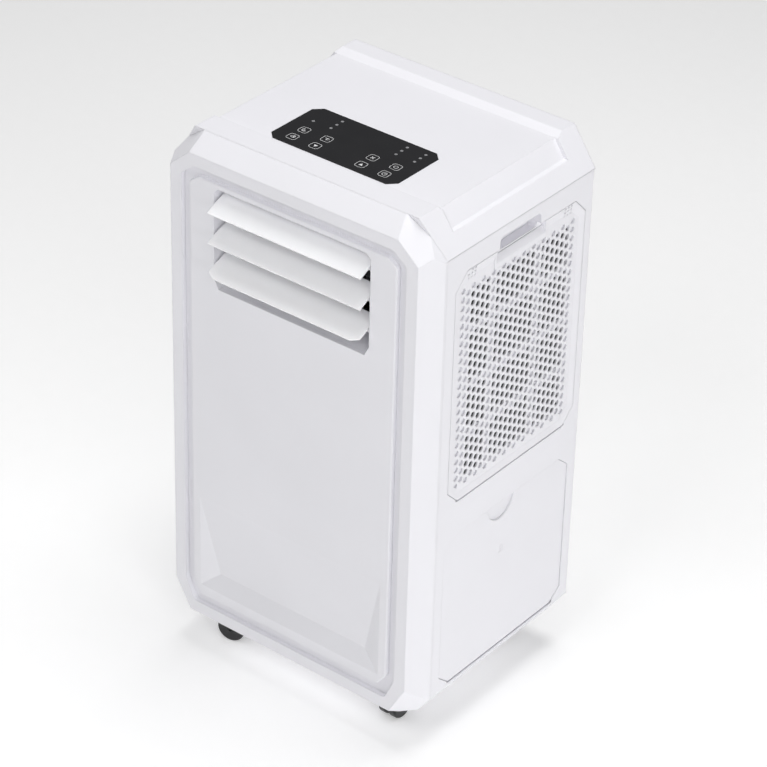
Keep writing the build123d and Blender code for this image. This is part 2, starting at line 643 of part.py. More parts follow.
with BuildPart() as filter_grille:
    # Skin with the honeycomb field.
    with BuildSketch(at_x(HALF_W - FIELD_SINK - FIELD_SKIN)):
        Polygon(*GRILLE, align=None)
        with Locations((FIELD_Y, FIELD_Z)):
            with GridLocations(2 * HOLE_COLUMN, HOLE_PITCH, 12, 24):
                RegularPolygon(HOLE_FLAT / 2, 6, major_radius=False, mode=Mode.SUBTRACT)
            with GridLocations(2 * HOLE_COLUMN, HOLE_PITCH, 11, 23):
                RegularPolygon(HOLE_FLAT / 2, 6, major_radius=False, mode=Mode.SUBTRACT)
    extrude(amount=FIELD_SKIN, clean=False)
    add(grille_border.part, clean=False)
    # Skirt behind the border.
    with BuildSketch(at_x(HALF_W - GRILLE_THICK)):
        Polygon(*GRILLE, align=None)
        offset(amount=-2.6, kind=Kind.INTERSECTION, mode=Mode.SUBTRACT)
    extrude(amount=GRILLE_THICK - FIELD_SINK - FIELD_SKIN, clean=False)
    # Two groups of shallow round marks.
    with BuildSketch(at_x(HALF_W + 0.5)):
        for y in (GRILLE_Y0 + 25.7, GRILLE_Y1 - 29):
            with Locations((y, GRILLE_Z1 - 6.0)):
                with GridLocations(5.0, 4.2, 3, 3):
                    Circle(1.1)
    extrude(amount=-2.4, mode=Mode.SUBTRACT, clean=False)
    # Sloped finger lip under the grip pocket.
    with BuildSketch(at_y(LIP_Y0)):
        Polygon(
            (HALF_W + 1, 537.6),
            (HALF_W + 1, GRILLE_Z1 + 1),
            (HALF_W - 6, GRILLE_Z1 + 1),
            (HALF_W - 6, GRIP_Z0),
            align=None,
        )
    extrude(amount=LIP_Y0 - LIP_Y1, mode=Mode.SUBTRACT, clean=False)
    # Lower edge rounded about the hinge line.
    with BuildSketch(at_y(GRILLE_Y0 - 1)):
        with Locations((HALF_W - 0.5 * GRILLE_THICK, GRILLE_Z0)):
            Rectangle(GRILLE_THICK + 1, 2 * GRILLE_ROLL)
        with Locations(GRILLE_HINGE):
            Circle(GRILLE_ROLL, mode=Mode.SUBTRACT)
    extrude(amount=GRILLE_Y0 - GRILLE_Y1 - 2, mode=Mode.SUBTRACT, clean=False)

with BuildPart() as filter_mesh:
    # Carrier of the filter net: one frame with three by four windows.
    with BuildSketch(at_x(HALF_W - GRILLE_THICK + 0.1)):
        Polygon(*GRILLE, align=None)
        offset(amount=-3.0, kind=Kind.INTERSECTION)
        with Locations((0.5 * (LIP_Y0 + LIP_Y1), GRILLE_Z1)):
            Rectangle(LIP_Y1 - LIP_Y0 + 12, 40, mode=Mode.SUBTRACT)
        for y0, y1 in FILTER_WINDOWS_Y:
            for z0, z1 in FILTER_WINDOWS_Z:
                with Locations((0.5 * (y0 + y1), 0.5 * (z0 + z1))):
                    Rectangle(y1 - y0, z1 - z0, mode=Mode.SUBTRACT)
    extrude(amount=1.2)

with BuildPart() as lower_cover:
    cover_back = HALF_W - COVER_THICK - COVER_INSET
    with BuildSketch(at_x(cover_back)):
        Polygon(*COVER, align=None)
    extrude(amount=COVER_THICK)
    # Half-moon thumb recess hanging from the top edge.
    with BuildSketch(at_x(HALF_W - COVER_INSET - 2.0)):
        with Locations((MOON_Y, COVER_Z1)):
            Circle(21.5)
    extrude(amount=3, mode=Mode.SUBTRACT)
    # Lower edge rounded about the hinge line.
    with BuildSketch(at_y(COVER_Y0 - 1)):
        with Locations((COVER_HINGE[0], COVER_Z0)):
            Rectangle(COVER_THICK + 1, 2 * COVER_ROLL)
        with Locations(COVER_HINGE):
            Circle(COVER_ROLL, mode=Mode.SUBTRACT)
    extrude(amount=COVER_Y0 - COVER_Y1 - 2, mode=Mode.SUBTRACT)

with BuildPart() as intake_slots:
    with BuildSketch(at_x(HALF_W - 8)):
        with Locations((0.5 * (COVER_Y0 + COVER_Y1), 150)):
            with GridLocations(86, 12, 2, 10):
                SlotOverall(76, 5)
    extrude(amount=10)

side_panels = {
    "filter_grille_right": filter_grille.part,
    "filter_grille_left": mirror(filter_grille.part, about=Plane.YZ),
    "filter_mesh_right": filter_mesh.part,
    "filter_mesh_left": mirror(filter_mesh.part, about=Plane.YZ),
    "lower_cover_right": lower_cover.part,
    "lower_cover_left": mirror(lower_cover.part - intake_slots.part, about=Plane.YZ),
}
for name, panel in side_panels.items():
    panel.label = name
    export_step(panel, f"parts/{name}.step")

# ---------------------------------------------------------------- rear fittings
with BuildPart() as exhaust_collar:
    with BuildSketch(at_y(REAR - 24)):
        with Locations((DUCT_X, DUCT_Z)):
            Circle(COLLAR_R - 3.4)
    extrude(amount=-24)
    with BuildSketch(at_y(REAR - WALL - 2.4)):
        with Locations((DUCT_X, DUCT_Z)):
            Circle(COLLAR_R + 3)
    extrude(amount=-2.4)
    with BuildSketch(at_y(REAR - 24)):
        with Locations((DUCT_X, DUCT_Z)):
            Circle(DUCT_R)
    extrude(amount=-24, mode=Mode.SUBTRACT)
exhaust_collar.part.label = "exhaust_collar"
export_step(exhaust_collar.part, "parts/exhaust_collar.step")

with BuildPart() as exhaust_duct:
    # From the blower's rectangular mouth to the round collar.
    with BuildSketch(at_y(REAR - 43)):
        with Locations((DUCT_X, DUCT_Z)):
            RectangleRounded(64, 64, 6)
    with BuildSketch(at_y(REAR - 24.2)):
        with Locations((DUCT_X, DUCT_Z)):
            Circle(DUCT_R + 2)
    loft()
    with BuildSketch(at_y(REAR - 43)):
        with Locations((DUCT_X, DUCT_Z)):
            RectangleRounded(60, 60, 4)
    with BuildSketch(at_y(REAR - 24.2)):
        with Locations((DUCT_X, DUCT_Z)):
            Circle(DUCT_R)
    loft(mode=Mode.SUBTRACT)
exhaust_duct.part.label = "exhaust_duct"
export_step(exhaust_duct.part, "parts/exhaust_duct.step")

with BuildPart() as cord_gland:
    with BuildSketch(at_y(REAR - 10)):
        with Locations((CORD_X, CORD_Z)):
            Circle(8.8)
    extrude(amount=-9.4)
    with BuildSketch(at_y(REAR - WALL - 2.2)):
        with Locations((CORD_X, CORD_Z)):
            Circle(12)
    extrude(amount=-2.2)
    with BuildSketch(at_y(REAR - 12)):
        with Locations((CORD_X, CORD_Z)):
            Circle(3.6)
    extrude(amount=-14, mode=Mode.SUBTRACT)
cord_gland.part.label = "cord_gland"
export_step(cord_gland.part, "parts/cord_gland.step")

with BuildPart() as drain_port:
    with BuildSketch(at_y(REAR - 26)):
        with Locations((DRAIN_X, DRAIN_Z)):
            Circle(DRAIN_R + 1.8)
    extrude(amount=-25.6)
    with BuildSketch(at_y(REAR - 26)):
        with Locations((DRAIN_X, DRAIN_Z)):
            Circle(DRAIN_R)
    extrude(amount=-26, mode=Mode.SUBTRACT)
drain_port.part.label = "drain_port"
export_step(drain_port.part, "parts/drain_port.step")

with BuildPart() as drain_plug:
    with BuildSketch(at_y(REAR - 12)):
        with Locations((DRAIN_X, DRAIN_Z)):
            Circle(DRAIN_R - 0.06)
    extrude(amount=-11.4)
    with BuildSketch(at_y(REAR - 0.6)):
        with Locations((DRAIN_X, DRAIN_Z)):
            Rectangle(7, 1.8)
    extrude(amount=5, mode=Mode.SUBTRACT)
drain_plug.part.label = "drain_plug"
export_step(drain_plug.part, "parts/drain_plug.step")

# ---------------------------------------------------------------- deck between the cold and the hot side
PIPE_HOLES = ((140.0, 108.0), (146.0, 92.0))
with BuildPart() as deck:
    with BuildSketch(Plane.XY.offset(DECK_Z)):
        with Locations((0, 20)):
            Rectangle(2 * (HALF_W - WALL - 8), 214)
        with Locations(*PIPE_HOLES):
            Circle(6, mode=Mode.SUBTRACT)
    extrude(amount=DECK_T)
    # Drip tray wall under the evaporator.
    with BuildSketch(Plane.XY.offset(DECK_Z + DECK_T)):
        with Locations((0, 89)):
            Rectangle(264, 42)
            Rectangle(260, 38, mode=Mode.SUBTRACT)
    extrude(amount=12)
deck.part.label = "deck"
export_step(deck.part, "parts/deck.step")

# ---------------------------------------------------------------- evaporator and its blower
EVAP_Y = 89.0
EVAP_Z = 425.0
with BuildPart() as evaporator_fins:
    with Locations((0, EVAP_Y, EVAP_Z)):
        Box(232, 24, 240)
    for y in (EVAP_Y - 7.5, EVAP_Y + 7.5):
        with Locations((0, y, EVAP_Z)):
            with GridLocations(6, 1, 38, 1):
                Box(3.6, 10, 236, mode=Mode.SUBTRACT)
    with BuildSketch(at_x(-120)):
        with Locations((EVAP_Y, EVAP_Z)):
            with GridLocations(12, 24, 2, 9):
                Circle(3.6)
    extrude(amount=240, mode=Mode.SUBTRACT)
evaporator_fins.part.label = "evaporator_fins"
export_step(evaporator_fins.part, "parts/evaporator_fins.step")

with BuildPart() as evaporator_tubes:
    with BuildSketch(at_x(-126)):
        with Locations((EVAP_Y, EVAP_Z)):
            with GridLocations(12, 24, 2, 9):
                Circle(3.5)
    extrude(amount=252)
    with BuildSketch(at_x(-129)):
        with Locations((EVAP_Y, EVAP_Z)):
            with GridLocations(12, 24, 2, 9):
                Rectangle(7, 24.01)
    extrude(amount=4)
evaporator_tubes.part.label = "evaporator_tubes"
export_step(evaporator_tubes.part, "parts/evaporator_tubes.step")

FAN_Z = 388.0
FAN_FRONT = -61.0
FAN_BACK = 10.0
with BuildPart() as upper_scroll:
    # Volute with a chimney that opens forward into the outlet frame.
    with BuildSketch(at_y(FRONT + OUTLET_DEPTH + 0.3)):
        with Locations((0, FAN_Z)):
            Circle(88)
        with Locations((0, 515.3)):
            Rectangle(2 * OUTLET_HALF + 4.8, 117)
        with Locations((0, 430)):
            Rectangle(150, 90)
    extrude(amount=-(FAN_BACK + 2 - FRONT - OUTLET_DEPTH - 0.3))
    with BuildSketch(at_y(FAN_FRONT)):
        with Locations((0, FAN_Z)):
            Circle(85.8)
        with Locations((0, 515.3)):
            Rectangle(2 * OUTLET_HALF, 112.4)
        with Locations((0, 430)):
            Rectangle(145.6, 90)
    extrude(amount=FAN_FRONT - FAN_BACK, mode=Mode.SUBTRACT)
    with BuildSketch(at_y(FRONT + OUTLET_DEPTH)):
        with Locations((0, 515.3)):
            Rectangle(2 * OUTLET_HALF, 112.4)
    extrude(amount=-40, mode=Mode.SUBTRACT)
    with BuildSketch(at_y(FAN_BACK - 1)):
        with Locations((0, FAN_Z)):
            Circle(56)
    extrude(amount=-6, mode=Mode.SUBTRACT)
    with BuildSketch(at_y(FRONT)):
        with Locations((0, FAN_Z)):
            Circle(8)
    extrude(amount=-100, mode=Mode.SUBTRACT)
upper_scroll.part.label = "upper_scroll"
export_step(upper_scroll.part, "parts/upper_scroll.step")


def blower_wheel(plane, radius, width, blades, bore):
    """Forward-curved centrifugal wheel: hub disc, blade ring and end ring."""
    with BuildPart() as wheel:
        with BuildSketch(plane):
            Circle(radius)
        extrude(amount=2)
        with BuildSketch(plane):
            with PolarLocations(radius - 6, blades):
                Rectangle(11, 1.2, rotation=35)
        extrude(amount=width)
        with BuildSketch(plane.offset(width - 3)):
            Circle(radius)
            Circle(radius - 4, mode=Mode.SUBTRACT)
        extrude(amount=3)
        with BuildSketch(plane):
            Circle(bore + 5)
        extrude(amount=18)
        with BuildSketch(plane):
            Circle(bore)
        extrude(amount=18, mode=Mode.SUBTRACT)
    return wheel.part


def blower_motor(plane, radius, length):
    """Can motor with its shaft leaving along the plane's normal."""
    with BuildPart() as motor:
        with BuildSketch(plane):
            Circle(radius)
        extrude(amount=length)
        fillet(motor.edges().filter_by(GeomType.CIRCLE), 3)
        with BuildSketch(plane.offset(length)):
            Circle(7)
        extrude(amount=3)
        with BuildSketch(plane.offset(length - 12)):
            Circle(4 + RUN_GAP)
        extrude(amount=15, mode=Mode.SUBTRACT)
    return motor.part


def motor_shaft(plane, length):
    """Plain shaft between a blower motor and its wheel."""
    with BuildPart() as shaft:
        with BuildSketch(plane):
            Circle(4)
        extrude(amount=length)
    return shaft.part


back_facing = Plane(origin=(0, FAN_FRONT + 5, FAN_Z), x_dir=(1, 0, 0), z_dir=(0, 1, 0))
upper_blower = {
    "upper_wheel": blower_wheel(back_facing, 70, 48, 40, 4.03),
    "upper_motor": blower_motor(back_facing.offset(-57), 34, 42),
    "upper_shaft": motor_shaft(back_facing.offset(-26), 42),
}
for name, piece in upper_blower.items():
    piece.label = name
    export_step(piece, f"parts/{name}.step")

# ---------------------------------------------------------------- condenser and its blower
COND_X = -139.0
COND_Y = -14.0
COND_LENGTH = 150.0
COND_Z = 170.0
with BuildPart() as condenser_fins:
    with Locations((COND_X, COND_Y, COND_Z)):
        Box(24, COND_LENGTH, 192)
    for x in (COND_X - 7.5, COND_X + 7.5):
        with Locations((x, COND_Y, COND_Z)):
            with GridLocations(1, 6, 1, 24):
                Box(10, 3.6, 188, mode=Mode.SUBTRACT)
    with BuildSketch(at_y(COND_Y - 80)):
        with Locations((COND_X, COND_Z)):
            with GridLocations(12, 24, 2, 7):
                Circle(3.6)
    extrude(amount=-160, mode=Mode.SUBTRACT)
condenser_fins.part.label = "condenser_fins"
export_step(condenser_fins.part, "parts/condenser_fins.step")

with BuildPart() as condenser_tubes:
    with BuildSketch(at_y(COND_Y - 81)):
        with Locations((COND_X, COND_Z)):
            with GridLocations(12, 24, 2, 7):
                Circle(3.5)
    extrude(amount=-164)
    with BuildSketch(at_y(COND_Y + 82)):
        with Locations((COND_X, COND_Z)):
            with GridLocations(12, 24, 2, 7):
                Rectangle(7, 24.01)
    extrude(amount=-4)
condenser_tubes.part.label = "condenser_tubes"
export_step(condenser_tubes.part, "parts/condenser_tubes.step")

LOW_FAN_Y = 20.0
LOW_FAN_Z = 160.0
with BuildPart() as lower_scroll:
    # Volute in the side plane; its mouth meets the exhaust duct.
    with BuildSketch(at_x(DUCT_X - 32)):
        with Locations((LOW_FAN_Y, LOW_FAN_Z)):
            Circle(77)
        with Locations((0.5 * (LOW_FAN_Y + REAR - 43.2), DUCT_Z)):
            Rectangle(REAR - 43.2 - LOW_FAN_Y, 64)
    extrude(amount=64)
    with BuildSketch(at_x(DUCT_X - 30)):
        with Locations((LOW_FAN_Y, LOW_FAN_Z)):
            Circle(75)
        with Locations((0.5 * (LOW_FAN_Y + REAR - 41), DUCT_Z)):
            Rectangle(REAR - 41 - LOW_FAN_Y, 60)
    extrude(amount=60, mode=Mode.SUBTRACT)
    with BuildSketch(at_x(DUCT_X - 34)):
        with Locations((LOW_FAN_Y, LOW_FAN_Z)):
            Circle(46)
    extrude(amount=10, mode=Mode.SUBTRACT)
    with BuildSketch(at_x(DUCT_X)):
        with Locations((LOW_FAN_Y, LOW_FAN_Z)):
            Circle(8)
    extrude(amount=40, mode=Mode.SUBTRACT)
lower_scroll.part.label = "lower_scroll"
export_step(lower_scroll.part, "parts/lower_scroll.step")

left_facing = Plane(origin=(DUCT_X + 26, LOW_FAN_Y, LOW_FAN_Z), x_dir=(0, 1, 0), z_dir=(-1, 0, 0))
lower_blower = {
    "lower_wheel": blower_wheel(left_facing, 58, 48, 36, 4.03),
    "lower_motor": blower_motor(left_facing.offset(-54), 30, 42),
    "lower_shaft": motor_shaft(left_facing.offset(-22), 38),
}
for name, piece in lower_blower.items():
    piece.label = name
    export_step(piece, f"parts/{name}.step")

# ---------------------------------------------------------------- compressor
COMP = (84.0, 44.0)
ACCU = (122.0, -16.0)
with BuildPart() as compressor:
    with BuildSketch(Plane.XY.offset(78)):
        with Locations(COMP):
            Circle(46)
    extrude(amount=150)
    fillet(compressor.edges().filter_by(GeomType.CIRCLE), 12)
    with BuildSketch(Plane.XY.offset(76)):
        with Locations(COMP):
            with PolarLocations(52, 3, start_angle=30):
                Circle(11)
            Circle(44)
        with Locations(COMP):
            with PolarLocations(52, 3, start_angle=30):
                Circle(5.2, mode=Mode.SUBTRACT)
    extrude(amount=3)
    with BuildSketch(Plane.XY.offset(220)):
        with Locations(COMP):
            Circle(4.5)
    extrude(amount=16)
compressor.part.label = "compressor"
export_step(compressor.part, "parts/compressor.step")

with BuildPart() as compressor_mounts:
    with BuildSketch(Plane.XY.offset(BODY_BOTTOM + 3.2)):
        with Locations(COMP):
            with PolarLocations(52, 3, start_angle=30):
                Circle(9)
    extrude(amount=76 - BODY_BOTTOM - 3.2)
    with BuildSketch(Plane.XY.offset(76)):
        with Locations(COMP):
            with PolarLocations(52, 3, start_angle=30):
                Circle(5)
    extrude(amount=8)
compressor_mounts.part.label = "compressor_mounts"
export_step(compressor_mounts.part, "parts/compressor_mounts.step")

with BuildPart() as accumulator:
    with BuildSketch(Plane.XY.offset(110)):
        with Locations(ACCU):
            Circle(19)
    extrude(amount=104)
    fillet(accumulator.edges().filter_by(GeomType.CIRCLE), 7)
accumulator.part.label = "accumulator"
export_step(accumulator.part, "parts/accumulator.step")


PIPES = (               # name, radius, chain of points
    (
        "discharge_pipe",
        3.5,
        ((84, 44, 236.2), (84, 44, 262), (84, -100, 262), (-139, -100, 262), (-139, -100, 240)),
    ),
    (
        "suction_pipe",
        4.5,
        ((122, -16, 214.2), (122, -16, 250), (140, 108, 250), (140, 108, 306), (134, 96, 330)),
    ),
    (
        "liquid_pipe",
        2.0,
        ((-139, -104, 120), (-139, -104, 98), (146, -104, 98), (146, 92, 98), (146, 92, 306), (134, 82, 322)),
    ),
)
for name, radius, points in PIPES:
    with BuildPart() as tube:
        with BuildLine() as run:
            FilletPolyline(*points, radius=8)
        with BuildSketch(run.line ^ 0):
            Circle(radius)
        sweep()
    tube.part.label = name
    export_step(tube.part, f"parts/{name}.step")

with BuildPart() as electrical_box:
    with Locations((88, -78, 165)):
        Box(110, 26, 130)
        Box(106, 22, 126, mode=Mode.SUBTRACT)
    with Locations((88, -66, 165)):
        Box(106, 4, 126, mode=Mode.SUBTRACT)
electrical_box.part.label = "electrical_box"
export_step(electrical_box.part, "parts/electrical_box.step")

with BuildPart() as power_board:
    with Locations((88, -86.2, 165)):
        Box(100, 1.6, 120)
    for x, z, w, h in ((62, 200, 22, 18), (108, 205, 30, 24), (112, 150, 18, 30), (66, 140, 16, 16)):
        with Locations((x, -80.4, z)):
            Box(w, 10, h)
power_board.part.label = "power_board"
export_step(power_board.part, "parts/power_board.step")

with BuildPart() as run_capacitor:
    with BuildSketch(Plane.XY.offset(104)):
        with Locations((88, -74)):
            Circle(9.5)
    extrude(amount=30)
run_capacitor.part.label = "run_capacitor"
export_step(run_capacitor.part, "parts/run_capacitor.step")

# ---------------------------------------------------------------- casters
CASTERS = (             # name, position, heading of the trailing wheels (degrees)
    ("front_left", -CASTER_X, CASTER_FRONT_Y, -168.0),
    ("front_right", CASTER_X, CASTER_FRONT_Y, 91.0),
    ("rear_left", -CASTER_X, CASTER_REAR_Y, 74.0),
    ("rear_right", CASTER_X, CASTER_REAR_Y, 108.0),
)
for corner, x, y, heading in CASTERS:
    spin = math.radians(heading)
    ahead = (math.cos(spin), math.sin(spin), 0)
    across = (-math.sin(spin), math.cos(spin), 0)
    axle = Plane(
        origin=(x + TRAIL * ahead[0], y + TRAIL * ahead[1], WHEEL_R),
        x_dir=ahead,
        z_dir=across,
    )
    with BuildPart() as fork:
        # Hood between the wheels, stem and axle.
        with BuildSketch(axle.offset(-0.5 * WHEEL_GAP + 0.3)):
            Circle(11)
            with Locations((-TRAIL + 1, -13)):
                Rectangle(12, 24)
        extrude(amount=WHEEL_GAP - 0.6)
        with BuildSketch(Plane.XY.offset(BODY_BOTTOM - 8)):
            with Locations((x, y)):
                Circle(10.5)
        extrude(amount=7.7)
        with BuildSketch(Plane.XY.offset(BODY_BOTTOM - 8)):
            with Locations((x, y)):
                Circle(5)
        extrude(amount=19.5)
        with BuildSketch(axle.offset(-0.5 * WHEEL_GAP - WHEEL_W + 1)):
            Circle(3)
        extrude(amount=WHEEL_GAP + 2 * WHEEL_W - 2)
    fork.part.label = f"caster_{corner}"
    export_step(fork.part, f"parts/caster_{corner}.step")
    for tag, start in (("outer", 0.5 * WHEEL_GAP), ("inner", -0.5 * WHEEL_GAP - WHEEL_W)):
        with BuildPart() as wheel:
            with BuildSketch(axle.offset(start)):
                Circle(WHEEL_R)
            extrude(amount=WHEEL_W)
            fillet(wheel.edges().filter_by(GeomType.CIRCLE), 2.2)
            with BuildSketch(axle.offset(start)):
                Circle(3.06)
            extrude(amount=WHEEL_W, mode=Mode.SUBTRACT)
        wheel.part.label = f"wheel_{corner}_{tag}"
        export_step(wheel.part, f"parts/wheel_{corner}_{tag}.step")
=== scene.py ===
import json
import math

import bmesh
import bpy
from mathutils import Matrix, Vector


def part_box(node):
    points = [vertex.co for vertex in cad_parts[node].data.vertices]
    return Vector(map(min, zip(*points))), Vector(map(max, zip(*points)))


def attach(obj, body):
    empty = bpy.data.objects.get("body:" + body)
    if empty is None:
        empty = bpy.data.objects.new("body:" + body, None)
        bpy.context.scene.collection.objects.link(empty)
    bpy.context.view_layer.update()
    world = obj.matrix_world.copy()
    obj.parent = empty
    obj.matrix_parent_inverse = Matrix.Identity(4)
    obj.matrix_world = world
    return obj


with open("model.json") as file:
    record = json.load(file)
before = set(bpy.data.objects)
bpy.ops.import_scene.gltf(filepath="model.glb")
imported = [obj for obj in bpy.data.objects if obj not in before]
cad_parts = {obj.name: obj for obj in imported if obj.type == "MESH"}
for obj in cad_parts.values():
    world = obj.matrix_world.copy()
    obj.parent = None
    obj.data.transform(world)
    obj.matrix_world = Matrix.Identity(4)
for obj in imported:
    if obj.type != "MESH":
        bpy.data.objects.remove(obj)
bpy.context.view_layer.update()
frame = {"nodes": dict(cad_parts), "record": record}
nodes = frame["nodes"]

MM = 0.001


# ---------------------------------------------------------------- materials

def new_material(name, color, roughness, metallic=0.0, specular=0.5):
    """A Principled material and the handles that the finish functions below use."""
    material = bpy.data.materials.new(name)
    material.use_nodes = True
    shader = material.node_tree.nodes["Principled BSDF"]
    shader.inputs["Base Color"].default_value = (*color, 1)
    shader.inputs["Roughness"].default_value = roughness
    shader.inputs["Metallic"].default_value = metallic
    shader.inputs["Specular IOR Level"].default_value = specular
    material.diffuse_color = (*color, 1)
    return material, material.node_tree, shader


def add_node(tree, kind, **inputs):
    node = tree.nodes.new(kind)
    for key, value in inputs.items():
        node.inputs[key.replace("_", " ")].default_value = value
    return node


def noise(tree, scale, detail=3.0, stretch=(1, 1, 1)):
    """Noise in the object's own metres, stretched along an axis where asked."""
    place = tree.nodes.new("ShaderNodeTexCoord")
    mapping = tree.nodes.new("ShaderNodeMapping")
    mapping.inputs["Scale"].default_value = stretch
    texture = add_node(tree, "ShaderNodeTexNoise", Scale=scale, Detail=detail)
    tree.links.new(place.outputs["Object"], mapping.inputs["Vector"])
    tree.links.new(mapping.outputs["Vector"], texture.inputs["Vector"])
    return texture.outputs["Fac"]


def remap(tree, value, low, high):
    node = add_node(tree, "ShaderNodeMapRange")
    node.inputs["To Min"].default_value = low
    node.inputs["To Max"].default_value = high
    tree.links.new(value, node.inputs["Value"])
    return node.outputs["Result"]


def tint(tree, value, dark, light):
    ramp = tree.nodes.new("ShaderNodeValToRGB")
    ramp.color_ramp.elements[0].position = 0.3
    ramp.color_ramp.elements[0].color = (*dark, 1)
    ramp.color_ramp.elements[1].position = 0.7
    ramp.color_ramp.elements[1].color = (*light, 1)
    tree.links.new(value, ramp.inputs["Fac"])
    return ramp.outputs["Color"]


def bump(tree, shader, height, depth, edge=None):
    """Surface relief of the given depth, on edges rounded by the radius in edge."""
    node = add_node(tree, "ShaderNodeBump", Strength=1.0, Distance=depth)
    tree.links.new(height, node.inputs["Height"])
    if edge:
        rounding = tree.nodes.new("ShaderNodeBevel")
        rounding.samples = 4
        rounding.inputs["Radius"].default_value = edge
        tree.links.new(rounding.outputs["Normal"], node.inputs["Normal"])
    tree.links.new(node.outputs["Normal"], shader.inputs["Normal"])


def moulded_plastic(name, color, roughness, grain=0.00006, grain_scale=2600, edge=0.0009,
                    spread=0.012, glow_depth=0.0):
    """Injection-moulded plastic: faint cloudy tone, fine spark grain, soft edges.

    A glow_depth in metres lets light pass a little way through thin walls.
    """
    material, tree, shader = new_material(name, color, roughness)
    cloud = noise(tree, 9, 2)
    dark = tuple(max(0, c * (1 - spread)) for c in color)
    light = tuple(min(1, c * (1 + spread)) for c in color)
    tree.links.new(tint(tree, cloud, dark, light), shader.inputs["Base Color"])
    fine = noise(tree, grain_scale, 2)
    tree.links.new(remap(tree, fine, roughness - 0.06, roughness + 0.06), shader.inputs["Roughness"])
    if glow_depth:
        shader.inputs["Subsurface Weight"].default_value = 0.7
        shader.inputs["Subsurface Radius"].default_value = (1.0, 0.95, 0.95)
        shader.inputs["Subsurface Scale"].default_value = glow_depth
    bump(tree, shader, fine, grain, edge)
    return material


def brushed_metal(name, color, roughness, stretch):
    material, tree, shader = new_material(name, color, roughness, metallic=1.0)
    line = noise(tree, 300, 4, stretch)
    dark = tuple(c * 0.8 for c in color)
    tree.links.new(tint(tree, line, dark, color), shader.inputs["Base Color"])
    tree.links.new(remap(tree, line, roughness - 0.08, roughness + 0.12), shader.inputs["Roughness"])
    bump(tree, shader, line, 0.00004)
    return material


def touch_glass(name, color):
    """Black printed glass: deep colour under a clear gloss coat with faint smudges."""
    material, tree, shader = new_material(name, color, 0.16, specular=0.5)
    shader.inputs["Coat Weight"].default_value = 0.35
    shader.inputs["Coat Roughness"].default_value = 0.06
    smudge = noise(tree, 40, 4)
    tree.links.new(remap(tree, smudge, 0.13, 0.24), shader.inputs["Roughness"])
    dark = tuple(c * 0.9 for c in color)
    tree.links.new(tint(tree, smudge, dark, color), shader.inputs["Base Color"])
    bump(tree, shader, smudge, 0.00001, 0.0004)
    return material


WHITE = (0.882, 0.877, 0.915)
MATERIALS = {
    "shell_white": moulded_plastic("shell_white", WHITE, 0.42, edge=0.0014),
    "panel_white": moulded_plastic("panel_white", (0.872, 0.868, 0.905), 0.46, edge=0.0009),
    "louver_white": moulded_plastic("louver_white", (0.925, 0.92, 0.95), 0.40, edge=0.0005,
                                    glow_depth=0.008),
    "glass_black": touch_glass("glass_black", (0.028, 0.028, 0.030)),
    "board_green": moulded_plastic("board_green", (0.03, 0.16, 0.07), 0.45, 0.0001, 900, None, 0.25),
    "inner_grey": moulded_plastic("inner_grey", (0.30, 0.305, 0.32), 0.6, edge=None, spread=0.05),
    "mesh_dark": moulded_plastic("mesh_dark", (0.03, 0.03, 0.033), 0.6, edge=None, spread=0.2),
    "motor_steel": brushed_metal("motor_steel", (0.50, 0.51, 0.53), 0.38, (1, 1, 12)),
    "fin_aluminium": brushed_metal("fin_aluminium", (0.72, 0.73, 0.74), 0.35, (1, 1, 30)),
    "tube_copper": brushed_metal("tube_copper", (0.72, 0.36, 0.20), 0.30, (1, 1, 4)),
    "compressor_black": moulded_plastic("compressor_black", (0.02, 0.02, 0.022), 0.32, edge=None,
                                        spread=0.2),
    "rubber_black": moulded_plastic("rubber_black", (0.02, 0.02, 0.02), 0.8, 0.0001, 1500, None, 0.2),
    "caster_black": moulded_plastic("caster_black", (0.012, 0.012, 0.013), 0.34, 0.00004, 1800,
                                    0.0006, 0.2),
    "box_steel": brushed_metal("box_steel", (0.62, 0.63, 0.64), 0.45, (1, 12, 1)),
}

for part in frame["record"]["subparts"]:
    mesh = nodes[part["node"]].data
    mesh.materials.clear()
    mesh.materials.append(MATERIALS[part["material_slot"]])


# ---------------------------------------------------------------- small printed and moulded marks

def ribbon(points, width, closed=False):
    """Outline corners of a flat stroke along a list of 2-D points."""
    count = len(points)
    inner, outer = [], []
    for i, point in enumerate(points):
        before = points[i - 1] if closed or i else points[i]
        after = points[(i + 1) % count] if closed or i < count - 1 else points[i]
        a = (Vector(point) - Vector(before)).normalized() if before is not points[i] else None
        b = (Vector(after) - Vector(point)).normalized() if after is not points[i] else None
        a, b = a or b, b or a
        normal = Vector((-(a + b).y, (a + b).x)).normalized()
        reach = 0.5 * width / max(0.4, normal.dot(Vector((-b.y, b.x))))
        inner.append(Vector(point) - normal * reach)
        outer.append(Vector(point) + normal * reach)
    return inner, outer


